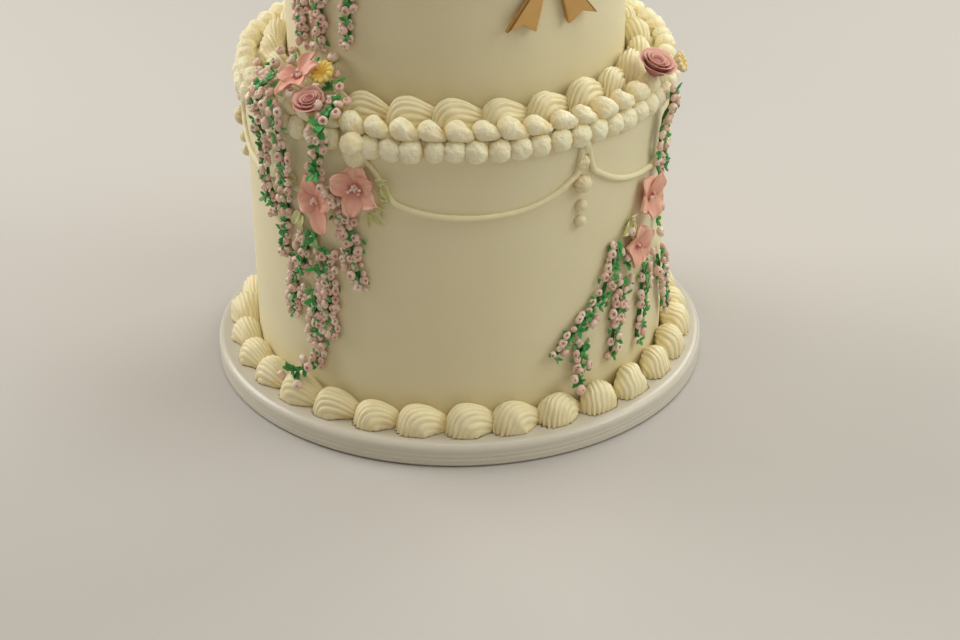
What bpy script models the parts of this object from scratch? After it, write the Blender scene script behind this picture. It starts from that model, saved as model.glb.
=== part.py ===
"""A two-tier iced cake on its round board, with piped shell borders, rows of pearls, string
swags, hanging strands of small florets, open blossoms, roses and a flat gold bow.

Lengths are metres. Azimuths are degrees from the front (-Y), growing towards +X.
"""
import math
import random

import bmesh
import bpy
from mathutils import Matrix, Vector

GAP = 0.00035

BOARD_RADIUS = 0.127
BOARD_THICKNESS = 0.012
BOARD_EDGE = 0.0015
BOARD_SIDES = 40

LOWER_RADIUS = 0.1053
LOWER_TOP = 0.162
UPPER_RADIUS = 0.0831
UPPER_TOP = 0.310
TIER_SIDES = 52
TIER_EDGE = (0.0050, 0.0045)

SHELL_DEPTH = 0.0146
SHELL_HEIGHT = 0.0150
BASE_SHELLS = 31
MIDDLE_SHELLS = 26
SHELL_SWELL = ((0.0, 0.60), (0.13, 0.95), (0.50, 1.0))

SMALL_PEARL = 0.0052
SMALL_PEARL_PITCH = 0.0101
SMALL_PEARL_DROP = 0.0063
SMALL_PEARL_SWELL = ((0.0, 0.50), (0.33, 1.0), (0.67, 1.0))
LARGE_PEARL_PITCH = 0.0125
LARGE_PEARL_SWELL = ((0.0, 0.55), (0.30, 1.0), (0.66, 0.90))
PEARL_VARIATION = 0.06

SWAGS = 6
SWAG_STEPS = 10
SWAG_JOINT_AZIMUTH = 34.0
SWAG_LOW = 0.0393
SWAG_DROP = 0.0230
SWAG_SAG = 3.2
STRING_WIDTH = 0.0026
STRING_DEPTH = 0.0022
JOINT_BEAD = (0.0042, 0.0040)

DROP_AZIMUTH = -1.3
DROPS = ((0.0299, 0.0045), (0.0412, 0.0031), (0.0492, 0.0028))
COVERED_JOINT = 5

STRAND_STEP = 0.0050
STRAND_DEPTH = 0.0052
STRAND_WIDTH = 0.0098
WIDE_STRAND = 0.0120

PETALS = 5
BOW_AZIMUTH = 31.0
BOW_KNOT_HEIGHT = 0.2375
BOW_THICKNESS = 0.003


def clear_scene():
    for thing in list(bpy.data.objects):
        bpy.data.objects.remove(thing, do_unlink=True)


def make_material(name, colour, roughness, metallic=0.0):
    material = bpy.data.materials.new(name)
    material.use_nodes = True
    shader = material.node_tree.nodes["Principled BSDF"]
    shader.inputs["Base Color"].default_value = (*colour, 1.0)
    shader.inputs["Roughness"].default_value = roughness
    shader.inputs["Metallic"].default_value = metallic
    return material


def outward(azimuth):
    turn = math.radians(azimuth)
    return Vector((math.sin(turn), -math.cos(turn), 0.0))


def sideways(azimuth):
    turn = math.radians(azimuth)
    return Vector((math.cos(turn), math.sin(turn), 0.0))


def ring_point(azimuth, radius, height):
    return outward(azimuth) * radius + Vector((0.0, 0.0, height))


def add_object(name, mesh, material, placement=None):
    """Turn an edit mesh into a named object of triangles that face out."""
    bmesh.ops.recalc_face_normals(mesh, faces=mesh.faces)
    bmesh.ops.triangulate(mesh, faces=mesh.faces)
    data = bpy.data.meshes.new(name)
    mesh.to_mesh(data)
    mesh.free()
    data.materials.append(material)
    thing = bpy.data.objects.new(name, data)
    bpy.context.collection.objects.link(thing)
    if placement is not None:
        thing.matrix_world = placement
    return thing


def loft(name, sections, material, closed=False, placement=None):
    """A skin through sections of equal point count. An open loft gets two flat ends."""
    mesh = bmesh.new()
    rows = [[mesh.verts.new(point) for point in section] for section in sections]
    count = len(rows[0])
    pairs = list(zip(rows, rows[1:]))
    if closed:
        pairs.append((rows[-1], rows[0]))
    for near, far in pairs:
        for i in range(count):
            j = (i + 1) % count
            mesh.faces.new((near[i], near[j], far[j], far[i]))
    if not closed:
        mesh.faces.new(list(reversed(rows[0])))
        mesh.faces.new(rows[-1])
    return add_object(name, mesh, material, placement)


def smooth_through(points, steps):
    """Catmull-Rom points through a short list of hand-placed ones."""
    ends = [points[0] * 2 - points[1], *points, points[-1] * 2 - points[-2]]
    line = []
    for a, b, c, d in zip(ends, ends[1:], ends[2:], ends[3:]):
        for step in range(steps):
            t = step / steps
            line.append(0.5 * (2 * b + (c - a) * t + (2 * a - 5 * b + 4 * c - d) * t * t
                               + (3 * b - a - 3 * c + d) * t ** 3))
    line.append(points[-1].copy())
    return line


def even_steps(line, step):
    """The same line again, with its points at equal distances."""
    lengths = [0.0]
    for near, far in zip(line, line[1:]):
        lengths.append(lengths[-1] + (far - near).length)
    count = max(3, round(lengths[-1] / step))
    points = []
    piece = 0
    for i in range(count + 1):
        target = lengths[-1] * i / count
        while piece < len(line) - 2 and lengths[piece + 1] < target:
            piece += 1
        share = (target - lengths[piece]) / (lengths[piece + 1] - lengths[piece])
        points.append(line[piece].lerp(line[piece + 1], share))
    return points


def stacked_discs(name, rings, sides, material):
    """A round solid from (radius, height) rings, bottom to top."""
    sections = []
    for radius, height in rings:
        sections.append([ring_point(360 * i / sides, radius, height) for i in range(sides)])
    return loft(name, sections, material)


def make_board(material):
    rings = ((BOARD_RADIUS - BOARD_EDGE, 0.0), (BOARD_RADIUS, BOARD_EDGE),
             (BOARD_RADIUS, BOARD_THICKNESS - BOARD_EDGE), (BOARD_RADIUS - BOARD_EDGE, BOARD_THICKNESS))
    stacked_discs("cake_board", rings, BOARD_SIDES, material)


def make_drops(radius, top, collection, material):
    """The dots in a column under each swag joint, but for the one that flowers cover."""
    for joint in range(SWAGS):
        if joint == COVERED_JOINT:
            continue
        azimuth = SWAG_JOINT_AZIMUTH + DROP_AZIMUTH + 360 * joint / SWAGS
        for below, size in DROPS:
            mesh = bmesh.new()
            bmesh.ops.create_icosphere(mesh, subdivisions=1, radius=size)
            centre = Matrix.Translation(ring_point(azimuth, radius, top - below))
            dot = add_object("dot", mesh, material, centre @ Matrix.Rotation(0.3, 4, "Z"))
            bpy.context.collection.objects.unlink(dot)
            collection.objects.link(dot)


def make_tier(name, radius, bottom, top, material):
    """A solid tier with a softened top edge, and its drops fused on in one union."""
    inset, fall = TIER_EDGE
    rings = ((radius, bottom), (radius, top - fall), (radius - inset, top))
    tier = stacked_discs(name, rings, TIER_SIDES, material)
    drops = bpy.data.collections.new(name + "_drops")
    bpy.context.scene.collection.children.link(drops)
    make_drops(radius, top, drops, material)
    union = tier.modifiers.new("fuse", "BOOLEAN")
    union.operation = "UNION"
    union.operand_type = "COLLECTION"
    union.collection = drops
    graph = bpy.context.evaluated_depsgraph_get()
    fused = bpy.data.meshes.new_from_object(tier.evaluated_get(graph))
    tier.modifiers.clear()
    tier.data = fused
    for dot in list(drops.objects):
        bpy.data.objects.remove(dot, do_unlink=True)
    bpy.data.collections.remove(drops)


def make_border(name, count, profile, centre, swell, variation, material):
    """A piped row round the cake: a (radius, height) profile that swells about its centre."""
    draw = random.Random(name)
    sections = []
    for piece in range(count):
        size = 1 - draw.uniform(0, variation)
        for share, scale in swell:
            azimuth = 360 * (piece + share) / count
            k = scale * size
            section = []
            for radius, height in profile:
                section.append(ring_point(azimuth, centre[0] + (radius - centre[0]) * k,
                                          centre[1] + (height - centre[1]) * k))
            sections.append(section)
    loft(name, sections, material, closed=True)


def make_shell_border(name, count, wall, floor, material):
    """Shells in the corner between a tier's wall and the surface that it stands on."""
    inner = wall + GAP
    low = floor + GAP
    profile = ((inner, low), (inner + SHELL_DEPTH, low),
               (inner + SHELL_DEPTH * 0.93, low + SHELL_HEIGHT * 0.52),
               (inner + SHELL_DEPTH * 0.50, low + SHELL_HEIGHT),
               (inner, low + SHELL_HEIGHT * 0.80))
    make_border(name, count, profile, (inner, low), SHELL_SWELL, PEARL_VARIATION, material)


def make_small_pearls(name, radius, top, material):
    """The row on the wall, just under the tier's top edge."""
    inner = radius + GAP
    middle = top - SMALL_PEARL_DROP
    reach = SMALL_PEARL
    profile = ((inner, middle - 0.85 * reach), (inner + 0.95 * reach, middle - 0.5 * reach),
               (inner + 0.95 * reach, middle + 0.5 * reach), (inner, middle + 0.85 * reach))
    count = round(math.tau * radius / SMALL_PEARL_PITCH)
    make_border(name, count, profile, (inner, middle), SMALL_PEARL_SWELL, PEARL_VARIATION, material)


def make_large_pearls(name, radius, top, material):
    """The row of teardrops that lies on the tier's top edge."""
    profile = ((radius - 0.0063, top + 0.0006), (radius + 0.0017, top - 0.0012),
               (radius + 0.0033, top + 0.0036), (radius - 0.0013, top + 0.0088),
               (radius - 0.0065, top + 0.0066))
    count = round(math.tau * (radius - 0.002) / LARGE_PEARL_PITCH)
    centre = (radius - 0.0021, top + 0.0010)
    make_border(name, count, profile, centre, LARGE_PEARL_SWELL, PEARL_VARIATION, material)


def swag_height(share, low):
    """Height of the string; share runs from -1 at one joint to 1 at the next."""
    return low + SWAG_DROP * (math.cosh(SWAG_SAG * share) - 1) / (math.cosh(SWAG_SAG) - 1)


def make_swags(name, radius, top, material):
    """The hanging strings of one tier, which meet in a bead at each joint."""
    low = top - SWAG_LOW
    half = 180 / SWAGS
    reach = math.radians(half) * radius
    sections = []
    for swag in range(SWAGS):
        middle = SWAG_JOINT_AZIMUTH + (2 * swag + 1) * half
        for step in range(SWAG_STEPS):
            share = math.sin(math.pi / 2 * (2 * step / SWAG_STEPS - 1))
            slope = SWAG_DROP * SWAG_SAG * math.sinh(SWAG_SAG * share) / (math.cosh(SWAG_SAG) - 1) / reach
            across = Vector((-slope, 1.0)).normalized()
            width, depth = STRING_WIDTH / 2, STRING_DEPTH
            if step == 0:
                across = Vector((0.0, 1.0))
                width, depth = JOINT_BEAD
            section = []
            for side, out in ((-1.0, 0.0), (-0.6, 1.0), (0.6, 1.0), (1.0, 0.0)):
                offset = across * side * width
                azimuth = middle + share * half + math.degrees(offset.x / radius)
                height = swag_height(share, low) + offset.y
                section.append(ring_point(azimuth, radius + 1.3 * GAP + out * depth, height))
            sections.append(section)
    loft(name, sections, material, closed=True)


def make_strand(name, route, width, material):
    """A bunch of florets along (azimuth, radius, height) points: lumps to the left and right."""
    line = even_steps(smooth_through([ring_point(*point) for point in route], 8), STRAND_STEP)
    sections = []
    for i, point in enumerate(line):
        along = (line[min(i + 1, len(line) - 1)] - line[max(i - 1, 0)]).normalized()
        around = sideways(math.degrees(math.atan2(point.x, -point.y)))
        side = (around - along * around.dot(along)).normalized()
        out = along.cross(side)
        taper = 1.0 - 0.35 * max(0.0, 2 * i / len(line) - 1)
        if i in (0, len(line) - 1):
            taper *= 0.6
        left, right = (1.0, 0.68) if i % 2 else (0.68, 1.0)
        half = width / 2 * taper
        depth = STRAND_DEPTH * taper
        section = [point - side * half * 0.75, point - side * half * left + out * depth * left,
                   point + side * half * right + out * depth * right, point + side * half * 0.75]
        sections.append(section)
    loft(name, sections, material)


def hanging(azimuth, wall, top, lean=0.0):
    """The start of a strand that comes off the ledge, over the pearls and down to the wall."""
    return [(azimuth, wall - 0.0040, top + 0.0102), (azimuth, wall + 0.0008, top + 0.0098),
            (azimuth + 0.1 * lean, wall + 0.0056, top + 0.0055),
            (azimuth + 0.5 * lean, wall + 0.0063, top - 0.0030),
            (azimuth + 0.85 * lean, wall + 0.0060, top - 0.0110),
            (azimuth + lean, wall + 0.0035, top - 0.0165)]


def place(azimuth, radius, height, tilt, spin=0.0):
    """A frame whose Z axis points out of the cake, raised by tilt degrees."""
    rise = math.radians(tilt)
    face = outward(azimuth) * math.cos(rise) + Vector((0.0, 0.0, math.sin(rise)))
    right = sideways(azimuth)
    axes = Matrix((right, face.cross(right), face)).transposed().to_4x4()
    origin = Matrix.Translation(ring_point(azimuth, radius, height))
    return origin @ axes @ Matrix.Rotation(math.radians(spin), 4, "Z")


def make_blossom(name, size, placement, material):
    """An open flower of five flat petals on a short piped foot, hollow like a dish."""
    reach = size / 2
    rows = [[], [], [], []]
    for i in range(3 * PETALS):
        notch = i % 3 == 0
        petal = i // 3
        turn = math.tau * (i / 3 + (0.0 if notch else (0.12 if i % 3 == 2 else -0.12))) / PETALS
        rim = reach * (0.58 if notch else 1.0)
        lift = 0.0046 + 0.0008 * math.sin(2.3 * petal) - (0.0010 if notch else 0.0)
        way = Vector((math.cos(turn), math.sin(turn), 0.0))
        rows[0].append(way * reach * 0.24)
        rows[1].append(way * rim + Vector((0.0, 0.0, lift)))
        rows[2].append(way * rim * 0.97 + Vector((0.0, 0.0, lift + 0.0012)))
        rows[3].append(way * reach * 0.20 + Vector((0.0, 0.0, 0.0024)))
    loft(name, rows, material, placement=placement)


def make_rose(name, size, placement, material):
    """A closed rose: a bud of overlapping petals, its rims wound round in a spiral."""
    reach = size / 2
    sides = 10
    rings = ((0.55, 0.0), (1.0, 0.42), (0.92, 0.80), (0.62, 0.92), (0.40, 0.70))
    sections = []
    for k, (share, rise) in enumerate(rings):
        section = []
        for i in range(sides):
            turn = math.tau * i / sides + 0.2 * k
            wave = 1 + (0.07 * math.cos(3 * turn + 1.7 * k) if k else 0.0)
            way = Vector((math.cos(turn), math.sin(turn), 0.0)) * reach * share * wave
            section.append(way + Vector((0.0, 0.0, size * 0.62 * rise)))
        sections.append(section)
    loft(name, sections, material, placement=placement)


def make_leaf(name, length, placement, material):
    """A thin leaf with a wavy edge, both faces split alike."""
    sections = []
    steps = 5
    for i in range(steps + 1):
        t = i / steps
        half = length * 0.24 * math.sin(math.pi * (0.10 + 0.84 * t)) + 0.0004
        rise = 0.0006 * math.sin(5 * t) + 0.0030 * t
        middle = Vector((0.0, length * t, rise))
        wave = Vector((0.0, 0.0, 0.0005 * (-1) ** i))
        thick = Vector((0.0, 0.0, 0.0009))
        edge = Vector((half, 0.0, 0.0))
        sections.append([middle - edge + wave, middle + edge - wave, middle + edge - wave + thick,
                         middle - edge + wave + thick])
    loft(name, sections, material, placement=placement)


def make_bow(material):
    """A flat bow with two loops and two tails, cut from one sheet that touches the wall."""
    right_half = [Vector(point) * 0.001 for point in
                  ((4.0, 4.2), (12.0, 12.5), (22.0, 18.0), (29.0, 15.0), (30.0, 4.0), (27.0, -6.0),
                   (17.0, -7.0), (4.6, -3.6))]
    loop = smooth_through(right_half, 2)
    tail = [Vector(point) * 0.001 for point in
            ((10.0, -14.0), (25.0, -32.0), (16.5, -29.5), (9.0, -34.5), (5.0, -19.0))]
    half = [Vector((0.0, 0.0046)), *loop, *tail]
    outline = half + [Vector((0.0, -0.0060))] + [Vector((-p.x, p.y)) for p in reversed(half[1:])]
    sections = [[Vector((p.x, p.y, depth)) for p in outline] for depth in (0.0, BOW_THICKNESS)]
    placement = place(BOW_AZIMUTH, UPPER_RADIUS + GAP, BOW_KNOT_HEIGHT, 0.0)
    loft("gold_bow", sections, material, placement=placement)


def make_strands(material):
    """Strand routes on the lower wall, then those of the upper tier."""
    wall = LOWER_RADIUS + 0.0006
    over = wall + 0.0026
    lower = LOWER_TOP
    left = hanging(-57.2, LOWER_RADIUS, lower) + [(-56.8, over, 0.134), (-56.6, over, 0.122)]
    make_strand("strand_left_1", left + [(-56.4, wall, 0.112), (-56.3, wall, 0.105)], STRAND_WIDTH, material)
    below_blossom = hanging(-50.0, LOWER_RADIUS, lower, 1.4)[2:]
    next_left = below_blossom + [(-48.2, over, 0.134), (-48.6, over, 0.124)]
    make_strand("strand_left_2", next_left + [(-50.2, wall, 0.112), (-52.2, wall, 0.086)],
                STRAND_WIDTH, material)
    make_strand("strand_left_3", hanging(-32.4, LOWER_RADIUS, lower, -3.8) + [(-36.4, over, 0.1405)],
                STRAND_WIDTH, material)
    make_strand("strand_left_4", [(-41.4, wall, 0.104), (-44.2, wall, 0.088), (-48.0, wall, 0.073),
                (-49.2, wall, 0.056)], STRAND_WIDTH, material)
    make_strand("strand_left_5", [(-35.8, wall, 0.097), (-35.6, wall, 0.084), (-35.4, wall, 0.070),
                (-34.6, wall, 0.052)], STRAND_WIDTH, material)
    make_strand("strand_left_6", [(-41.4, wall, 0.073), (-41.2, wall, 0.060), (-41.0, wall, 0.046),
                (-41.8, wall, 0.031)], WIDE_STRAND, material)
    make_strand("strand_left_7", [(-29.6, wall, 0.117), (-28.8, wall, 0.107), (-27.8, wall, 0.096),
                (-26.0, wall, 0.082)], WIDE_STRAND, material)
    below_rose = hanging(69.2, LOWER_RADIUS, lower, -2.2)[3:]
    make_strand("strand_right_1", below_rose + [(65.9, over, 0.136), (65.6, over, 0.1275),
                (66.0, over, 0.1210)], STRAND_WIDTH, material)
    make_strand("strand_right_2", [(45.8, wall, 0.092), (43.2, wall, 0.078), (40.4, wall, 0.068),
                (35.6, wall, 0.060), (31.4, wall, 0.053), (25.8, wall, 0.043)], STRAND_WIDTH, material)
    make_strand("strand_right_3", [(34.2, wall, 0.0460), (33.8, wall, 0.040), (33.2, wall, 0.031)],
                STRAND_WIDTH, material)
    make_strand("strand_right_4", [(48.4, wall, 0.071), (46.5, wall, 0.052), (44.3, wall, 0.033)],
                STRAND_WIDTH, material)
    make_strand("strand_right_5", [(59.4, wall, 0.069), (58.4, wall, 0.050), (56.4, wall, 0.031)],
                STRAND_WIDTH, material)
    make_strand("strand_right_6", [(67.6, wall, 0.070), (72.4, wall, 0.051), (76.6, wall, 0.031)],
                STRAND_WIDTH, material)
    high = UPPER_RADIUS + 0.0006
    past = high + 0.0026
    for number, azimuth, end in ((1, -58.4, 0.187), (2, -47.6, 0.189), (3, -35.8, 0.195)):
        route = hanging(azimuth, UPPER_RADIUS, UPPER_TOP)
        route += [(azimuth, past, 0.286), (azimuth + 0.6, past, 0.268), (azimuth - 0.6, high, 0.255),
                  (azimuth + 0.8, high, 0.232), (azimuth, high, end)]
        make_strand("strand_upper_%d" % number, route, STRAND_WIDTH, material)


def make_flowers(pink, rose, yellow, white):
    """Blossoms on the walls and the groups of flowers on the ledge and on top."""
    wall = LOWER_RADIUS + 0.0009
    over = LOWER_RADIUS + 0.0034
    ledge = LOWER_TOP + 0.0178
    make_blossom("blossom_left_1", 0.0250, place(-37.2, over, 0.1240, 4, 90), pink)
    make_blossom("blossom_left_2", 0.0235, place(-25.4, over, 0.1352, 6, 18), pink)
    make_blossom("blossom_right_1", 0.0225, place(59.2, wall, 0.1090, 2, 60), pink)
    make_blossom("blossom_right_2", 0.0200, place(53.4, wall, 0.0868, 0, 30), pink)
    make_blossom("blossom_ledge", 0.0220, place(-46.4, 0.1008, ledge - 0.0016, 58, 40), pink)
    make_blossom("flower_yellow_ledge", 0.0120, place(-40.4, 0.0930, ledge, 48, 10), yellow)
    make_rose("rose_ledge", 0.0124, place(-38.4, 0.1070, LOWER_TOP + 0.0088, 66, 0), rose)
    make_rose("rose_right", 0.0142, place(61.8, 0.1056, LOWER_TOP + 0.0100, 66, 0), rose)
    make_blossom("flower_white_right", 0.0105, place(72.6, 0.1106, LOWER_TOP + 0.0068, 20, 25), white)
    make_blossom("blossom_top", 0.0240, place(-50.0, 0.0610, UPPER_TOP + 0.0022, 66, 30), pink)
    make_blossom("flower_yellow_top", 0.0120, place(-33.0, 0.0660, UPPER_TOP + 0.0016, 56, 10), yellow)
    make_rose("rose_top", 0.0140, place(-70.0, 0.0640, UPPER_TOP + 0.0026, 60, 0), rose)


def make_leaves(material):
    wall = LOWER_RADIUS + 0.0009
    make_leaf("leaf_1", 0.0100, place(-18.2, wall + 0.0026, 0.1394, 0, 225), material)
    make_leaf("leaf_2", 0.0085, place(-22.0, wall, 0.1230, 0, 235), material)
    make_leaf("leaf_3", 0.0085, place(-45.4, wall, 0.1130, 0, 165), material)
    make_leaf("leaf_4", 0.0080, place(51.6, wall, 0.1000, 0, 110), material)


def main():
    clear_scene()
    icing = make_material("icing", (0.72, 0.66, 0.42), 0.45)
    board = make_material("board", (0.78, 0.77, 0.72), 0.35)
    pink = make_material("blossom", (0.58, 0.24, 0.19), 0.5)
    rose = make_material("rose", (0.46, 0.22, 0.20), 0.5)
    yellow = make_material("yellow", (0.74, 0.50, 0.10), 0.5)
    white = make_material("pale_flower", (0.78, 0.74, 0.50), 0.5)
    wisteria = make_material("wisteria", (0.60, 0.38, 0.32), 0.5)
    leaf = make_material("leaf", (0.50, 0.58, 0.30), 0.5)
    gold = make_material("gold", (0.80, 0.55, 0.22), 0.15, 1.0)

    make_board(board)
    make_tier("lower_tier", LOWER_RADIUS, BOARD_THICKNESS + GAP, LOWER_TOP, icing)
    make_tier("upper_tier", UPPER_RADIUS, LOWER_TOP + GAP, UPPER_TOP, icing)
    make_shell_border("base_shells", BASE_SHELLS, LOWER_RADIUS, BOARD_THICKNESS, icing)
    make_shell_border("middle_shells", MIDDLE_SHELLS, UPPER_RADIUS, LOWER_TOP, icing)
    for level, radius, top in (("lower", LOWER_RADIUS, LOWER_TOP), ("upper", UPPER_RADIUS, UPPER_TOP)):
        make_small_pearls("small_pearls_" + level, radius, top, icing)
        make_large_pearls("large_pearls_" + level, radius, top, icing)
        make_swags("swags_" + level, radius, top, icing)
    make_strands(wisteria)
    make_flowers(pink, rose, yellow, white)
    make_leaves(leaf)
    make_bow(gold)


main()
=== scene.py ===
import math
import random

import bmesh
import bpy
import numpy as np
from mathutils import Matrix, Vector


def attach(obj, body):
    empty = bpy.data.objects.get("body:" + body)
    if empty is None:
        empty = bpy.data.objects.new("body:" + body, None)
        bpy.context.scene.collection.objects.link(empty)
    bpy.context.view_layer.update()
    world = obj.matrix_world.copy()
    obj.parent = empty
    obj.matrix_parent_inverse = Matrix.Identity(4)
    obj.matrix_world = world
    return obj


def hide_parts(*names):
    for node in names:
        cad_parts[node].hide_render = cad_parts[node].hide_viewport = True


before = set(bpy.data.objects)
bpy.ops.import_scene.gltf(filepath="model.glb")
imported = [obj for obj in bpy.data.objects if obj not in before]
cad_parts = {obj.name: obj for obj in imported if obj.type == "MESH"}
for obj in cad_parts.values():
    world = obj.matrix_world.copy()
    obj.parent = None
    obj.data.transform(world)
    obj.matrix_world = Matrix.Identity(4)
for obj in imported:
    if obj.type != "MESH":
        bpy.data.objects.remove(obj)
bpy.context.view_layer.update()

# sizes in metres: each tier's radius, underside and top, then the board's
# azimuths are degrees from the front, growing to the right
tiers = dict(lower=(0.1053, 0.01235, 0.162), upper=(0.0831, 0.16235, 0.31))
lowerRadius, lowerTop = tiers["lower"][::2]
upperRadius, upperTop = tiers["upper"][::2]
boardRadius, boardTop = 0.127, 0.012
nearAxis = 0.0001  # the smallest radius, where a turned surface closes


def linear(red, green, blue):
    # a screen colour, 0 to 255, as the light it stands for
    return np.array([((c / 255 + 0.055) / 1.055) ** 2.4 for c in (red, green, blue)])


def blend(low, high, share):
    # share is one number or one at every point
    return low + (high - low) * np.asarray(share)[..., None]


def ease(value):
    value = np.clip(value, 0, 1)
    return value * value * (3 - 2 * value)


def circle(count):
    return np.linspace(0, math.tau, count, endpoint=False)[None, :]


def steps(count, end=1):
    return np.linspace(0, end, count)[:, None]


def surface(x, y, z):
    return np.stack(np.broadcast_arrays(x, y, z), axis=-1)


def unit(vectors):
    return vectors / np.linalg.norm(vectors, axis=-1, keepdims=True)


def ripple(points, scale, seed):
    # smooth uneven values of about -1 to 1 from crossed waves; scale is in radians a metre
    draw = np.random.default_rng(seed)
    total = 0
    for octave in range(6):
        way = unit(draw.normal(size=3))
        total = total + np.sin(points @ way * scale * (1 + 0.3 * octave) + draw.uniform(0, 6.28))
    return total / 3


def uneven(points, draw, waves, seeds=9999):
    # ripples of several scales, each with its share
    return sum(ripple(points, scale, draw.randrange(seeds)) * share for scale, share in waves)


def wrap(local, azimuth, radius, height):
    # local is along, out and up from a spot on a round wall, bent round the cake with it
    turn = math.radians(azimuth) + local[..., 0] / radius
    reach = radius + local[..., 1]
    return surface(np.sin(turn) * reach, -np.cos(turn) * reach, height + local[..., 2])


def outward(azimuth):
    turn = math.radians(azimuth)
    return np.array([math.sin(turn), -math.cos(turn), 0])


def sideways(azimuth):
    turn = math.radians(azimuth)
    return np.array([math.cos(turn), math.sin(turn), 0])


def spot(azimuth, radius, height):
    return outward(azimuth) * radius + np.array([0, 0, height])


def facing(azimuth, radius, height, tilt, spin=0):
    # origin and axes of a flower that looks out of the cake, raised by tilt and turned by spin
    rise, turn = math.radians(tilt), math.radians(spin)
    face = outward(azimuth) * math.cos(rise) + np.array([0, 0, math.sin(rise)])
    right = sideways(azimuth)
    across = right * math.cos(turn) + np.cross(face, right) * math.sin(turn)
    return spot(azimuth, radius, height), across, np.cross(face, across), face


def settle(local, placement):
    origin, across, along, face = placement
    return origin + local[..., :1] * across + local[..., 1:2] * along + local[..., 2:3] * face


# gathers grids of points into one mesh, with a colour at every point
class Batch:
    def __init__(self, node, seed=None):
        self.node, self.draw = node, random.Random(seed or node)
        self.points, self.quads, self.tints, self.count = [], [], [], 0

    def grid(self, points, tint, ring=True, loop=False):
        # ring joins the last column to the first, loop the last row to the first
        index = np.arange(points[..., 0].size).reshape(points.shape[:2]) + self.count
        index = np.pad(index, ((0, int(loop)), (0, int(ring))), "wrap")
        corners = (index[:-1, :-1], index[:-1, 1:], index[1:, 1:], index[1:, :-1])
        self.quads.append(np.stack(corners, axis=-1).reshape(-1, 4))
        self.points.append(points.reshape(-1, 3))
        self.tints.append(np.broadcast_to(tint, points.shape).reshape(-1, 3))
        self.count += points[..., 0].size

    def piece(self, name, finish, slot):
        mesh = bpy.data.meshes.new(name)
        mesh.from_pydata(np.concatenate(self.points).tolist(), [], np.concatenate(self.quads).tolist())
        tints = np.concatenate(self.tints)
        colours = mesh.attributes.new("tint", "FLOAT_COLOR", "POINT")
        colours.data.foreach_set("color", np.column_stack([tints, np.ones(len(tints))]).ravel())
        work = bmesh.new()
        work.from_mesh(mesh)
        bmesh.ops.remove_doubles(work, verts=work.verts, dist=2e-6)
        bmesh.ops.recalc_face_normals(work, faces=work.faces)
        for face in work.faces:
            face.smooth = True
        work.to_mesh(mesh)
        work.free()
        addPiece(name, mesh, finish, self.node)


def intoScene(name, data):
    item = bpy.data.objects.new(name, data)
    bpy.context.scene.collection.objects.link(item)
    return item


def addPiece(name, mesh, finish, node):
    mesh.materials.append(finish)
    piece = intoScene(name, mesh)
    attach(piece, "root")
    if node:
        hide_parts(node)


# a socket that takes part in sums
class Reading:
    def __init__(self, finish, socket):
        self.finish, self.socket = finish, socket

    def sum(self, operation, first, second):
        return self.finish.node("ShaderNodeMath", dict(operation=operation), {0: first, 1: second})

    def __add__(self, other):
        return self.sum("ADD", self, other)

    def __radd__(self, other):
        return self.sum("ADD", other, self)

    def __mul__(self, other):
        return self.sum("MULTIPLY", self, other)

    def __rmul__(self, other):
        return self.sum("MULTIPLY", other, self)


class Finish:
    def __init__(self, name, **fixed):
        self.material = bpy.data.materials.new(name)
        self.material.use_nodes = True
        self.tree = self.material.node_tree
        self.shader = self.tree.nodes["Principled BSDF"]
        for socket, value in fixed.items():
            self.shader.inputs[socket.replace("_", " ")].default_value = value

    def node(self, kind, settings, inputs, output=0):
        node = self.tree.nodes.new(kind)
        for key, value in settings.items():
            setattr(node, key, value)
        for key, value in inputs.items():
            if isinstance(value, Reading):
                self.tree.links.new(value.socket, node.inputs[key])
            else:
                node.inputs[key].default_value = value
        return Reading(self, node.outputs[output])

    def place(self):
        return self.node("ShaderNodeTexCoord", {}, {}, "Object")

    def tint(self):
        return self.node("ShaderNodeAttribute", dict(attribute_name="tint"), {}, "Color")

    def ranged(self, value, low, high, newLow=0, newHigh=1):
        return self.node("ShaderNodeMapRange", {}, {0: value, 1: low, 2: high, 3: newLow, 4: newHigh})

    def cloud(self, scale, detail, low, high, roughness=0.5):
        noise = dict(Vector=self.place(), Scale=scale, Detail=detail, Roughness=roughness)
        return self.ranged(self.node("ShaderNodeTexNoise", {}, noise), low, high)

    def mixed(self, share, low, high, way="MULTIPLY"):
        # sockets 0, 6 and 7 of a colour mix are its factor and its two colours
        return self.node("ShaderNodeMix", dict(data_type="RGBA", blend_type=way), {0: share, 6: low, 7: high}, 2)

    def feed(self, socket, value):
        self.tree.links.new(value.socket, self.shader.inputs[socket])

    def bump(self, height, distance):
        self.feed("Normal", self.node("ShaderNodeBump", {}, dict(Height=height, Distance=distance)))


def icingFinish(name, look):
    # piped buttercream: its colour at every point, painted shade in creases and hollows included, faint blotches,
    # fine grain and small pits
    finish = Finish(name, Subsurface_Weight=look["glow"], Subsurface_Scale=look["glowDepth"],
                    Subsurface_Radius=(1, 0.62, 0.3), Specular_IOR_Level=look["shine"])
    blotch = finish.cloud(look["blotchScale"], 3, 0.35, 0.68)
    colour = finish.mixed(blotch * look["blotch"], finish.tint(), look["blotchTint"])
    fine = finish.cloud(look["grainScale"], 4, 0.3, 0.75, 0.6)
    finish.feed("Base Color", finish.mixed(fine * look["grain"], colour, look["grainTint"]))
    finish.feed("Roughness", finish.ranged(fine + 0.6 * blotch, 0, 1.6, look["smooth"], look["rough"]))
    pits = finish.node("ShaderNodeTexVoronoi", {}, dict(Vector=finish.place(), Scale=look["pitScale"]))
    finish.bump(0.7 * fine + 0.3 * finish.ranged(pits, 0, 0.22), look["relief"])
    return finish.material


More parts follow.
